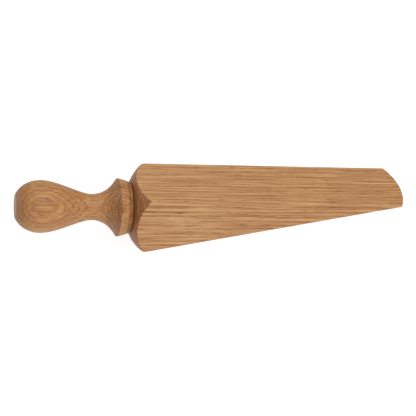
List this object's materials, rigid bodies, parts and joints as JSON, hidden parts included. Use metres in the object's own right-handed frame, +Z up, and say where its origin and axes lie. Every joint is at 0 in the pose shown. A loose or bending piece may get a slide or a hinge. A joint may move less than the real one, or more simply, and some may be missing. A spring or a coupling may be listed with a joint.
{
  "type": "door wedge",
  "caption": "Oak door wedge: a square block tapering to a thin rounded tip, with a turned knob handle behind a collar.",
  "frame": {"origin": "middle of the bounding box's underside, on the floor the wedge rests on", "axes": "+X along the wedge towards its thin tip, +Y across its width, +Z up from the level sloping sole"},
  "size_m": [0.2798, 0.045, 0.0569],
  "materials": {
    "oiled_oak": "satin oiled oak with straight grain along the block",
    "oiled_oak_turned": "satin oiled oak, turned, with ring ovals on the knob and darker end grain",
    "beech": "bare beech, fluted and glued"
  },
  "bodies": {
    "root": {"wedge_block": "oiled_oak", "turned_handle": "oiled_oak_turned", "joint_dowel": "beech"}
  },
  "joints": []
}
